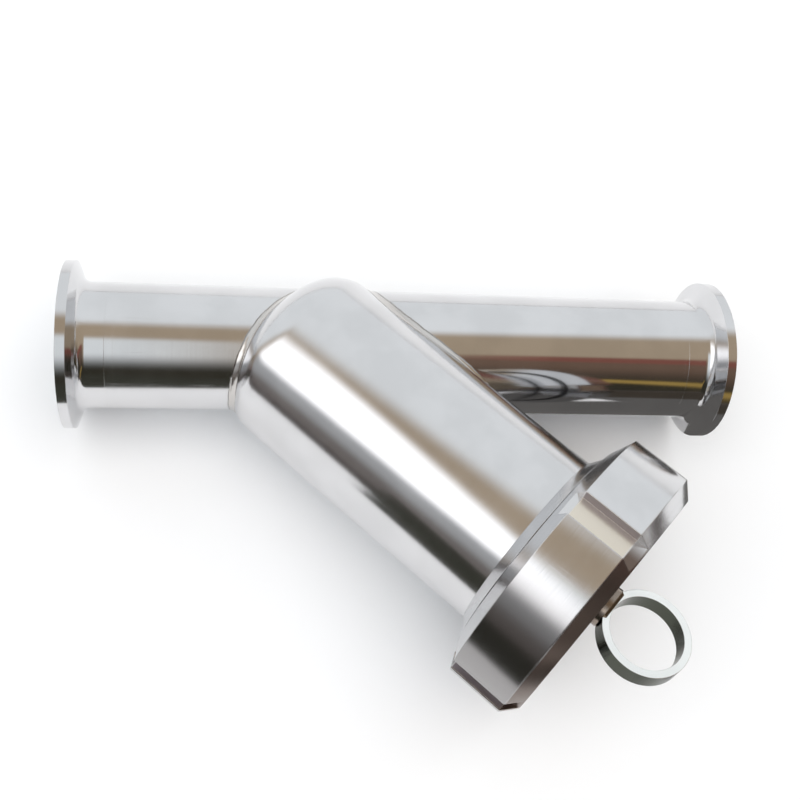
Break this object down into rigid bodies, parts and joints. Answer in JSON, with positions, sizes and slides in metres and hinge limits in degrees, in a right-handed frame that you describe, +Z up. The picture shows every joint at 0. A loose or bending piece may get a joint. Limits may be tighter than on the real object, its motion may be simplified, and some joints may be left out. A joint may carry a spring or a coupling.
{
  "type": "y strainer",
  "caption": "Polished hygienic 45 degree Y strainer with clamp ferrule ends, a domed barrel, a slotted round union nut over a blind cover with a ring pull, and a removable screen.",
  "frame": {"origin": "centre of the inlet ferrule's sealing face, on the axis of the run", "axes": "+X along the run in the flow direction, from the inlet face to the outlet face; +Z up off the plane that touches both ferrule rims and the union nut's rear rim; the barrel's closed end reaches 2.1 mm below that plane, so on a real bench the strainer settles at a slightly different tilt; the barrel leans out towards -Y and rises a little"},
  "size_m": [0.203, 0.1356, 0.0878],
  "materials": {
    "polished_steel": "mirror polished",
    "machined_steel": "fine turned",
    "turned_nut": "fine turned, polished",
    "weld_metal": "ground and polished",
    "woven_mesh": "woven wire",
    "seal_rubber": "matt"
  },
  "bodies": {
    "housing": {"inlet_ferrule": "polished_steel", "inlet_ferrule_weld": "weld_metal", "inlet_tube": "polished_steel", "inlet_branch_weld": "weld_metal", "outlet_ferrule": "polished_steel", "outlet_ferrule_weld": "weld_metal", "outlet_tube": "polished_steel", "outlet_branch_weld": "weld_metal", "dome_end": "polished_steel", "dome_weld": "weld_metal", "barrel": "polished_steel", "liner_weld": "weld_metal", "threaded_liner": "machined_steel", "seat_ring": "machined_steel"},
    "screen_element": {"screen_core": "machined_steel", "screen_mesh": "woven_mesh", "mesh_seam": "machined_steel", "screen_top_ring": "machined_steel", "screen_seat_ring": "machined_steel", "top_o_ring": "seal_rubber", "seat_o_ring": "seal_rubber"},
    "cover_assembly": {"cover": "machined_steel", "handle_boss": "machined_steel", "ring_handle": "machined_steel", "handle_weld": "weld_metal", "cover_gasket": "seal_rubber"},
    "nut": {"union_nut": "turned_nut"}
  },
  "joints": [
    {"name": "element_pull_out", "type": "slide", "parent": "housing", "child": "screen_element", "axis": [0.7071, -0.6879, 0.1636], "range_m": [0, 0.12]},
    {"name": "cover_back_off", "type": "slide", "parent": "screen_element", "child": "cover_assembly", "axis": [0.7071, -0.6879, 0.1636], "range_m": [0, 0.0128]},
    {"name": "nut_turn", "type": "hinge", "parent": "cover_assembly", "child": "nut", "pos_m": [0.1363, -0.06576, 0.01564], "axis": [0.7071, -0.6879, 0.1636], "range_deg": [0, 1080]}
  ],
  "couplings": [
    {"joint": "cover_back_off", "follows": "nut_turn", "m_per_rad": 0.00067375}
  ]
}
